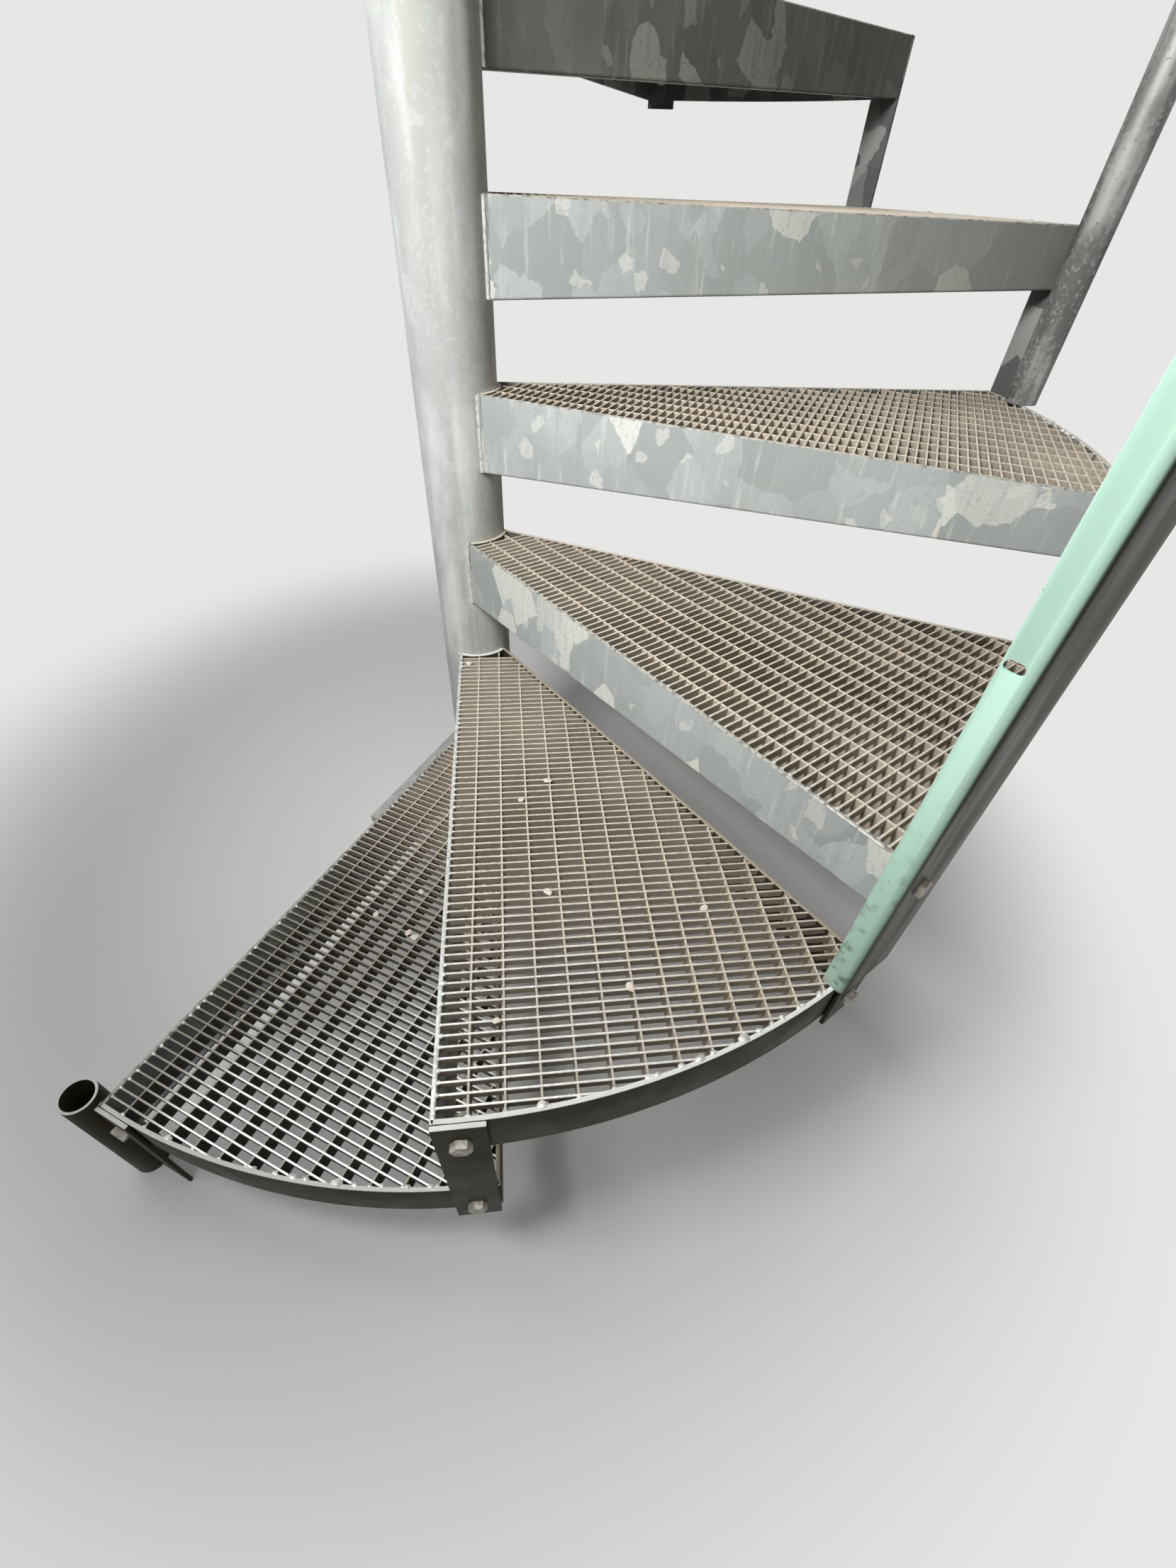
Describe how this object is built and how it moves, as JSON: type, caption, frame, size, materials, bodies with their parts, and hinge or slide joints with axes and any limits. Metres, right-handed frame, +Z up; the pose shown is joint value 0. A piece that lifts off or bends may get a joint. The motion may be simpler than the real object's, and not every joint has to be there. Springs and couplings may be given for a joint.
{
  "type": "spiral staircase",
  "caption": "Galvanised spiral staircase: grating treads around a central column, outer straps, tube posts and a helical handrail.",
  "frame": {"origin": "on the floor at the axis of the column, under the base plate", "axes": "+Z up along the column; the treads climb counter-clockwise seen from above; +Y away from the viewer of the picture"},
  "size_m": [1.687, 1.6671, 3.1753],
  "materials": {
    "column_zinc": "dull galvanised, streaked",
    "grating_zinc": "galvanised with zinc flower, dusty and worn on top",
    "strap_zinc": "galvanised, bright edges",
    "tube_zinc": "smooth bright galvanised",
    "green_paint": "pastel mint green paint, satin, chipped edges"
  },
  "bodies": {
    "root": {"base_plate": "column_zinc", "column": "column_zinc", "column_cap": "column_zinc", "tread_01": "grating_zinc", "tread_02": "grating_zinc", "tread_03": "grating_zinc", "tread_04": "grating_zinc", "tread_05": "grating_zinc", "tread_06": "grating_zinc", "tread_07": "grating_zinc", "tread_08": "grating_zinc", "tread_09": "grating_zinc", "tread_10": "grating_zinc", "tread_11": "grating_zinc", "tread_bracket_01": "strap_zinc", "tread_bracket_02": "strap_zinc", "tread_bracket_03": "strap_zinc", "tread_bracket_04": "strap_zinc", "tread_bracket_05": "strap_zinc", "tread_bracket_06": "strap_zinc", "tread_bracket_07": "strap_zinc", "tread_bracket_08": "strap_zinc", "tread_bracket_09": "strap_zinc", "tread_bracket_10": "strap_zinc", "tread_bracket_11": "strap_zinc", "post_stub_01": "tube_zinc", "post_channel_03": "green_paint", "post_tube_05": "tube_zinc", "post_tube_07": "tube_zinc", "post_tube_09": "tube_zinc", "post_tube_11": "tube_zinc", "handrail_03": "tube_zinc", "handrail_05": "tube_zinc", "handrail_07": "tube_zinc", "handrail_09": "tube_zinc"}
  },
  "joints": []
}
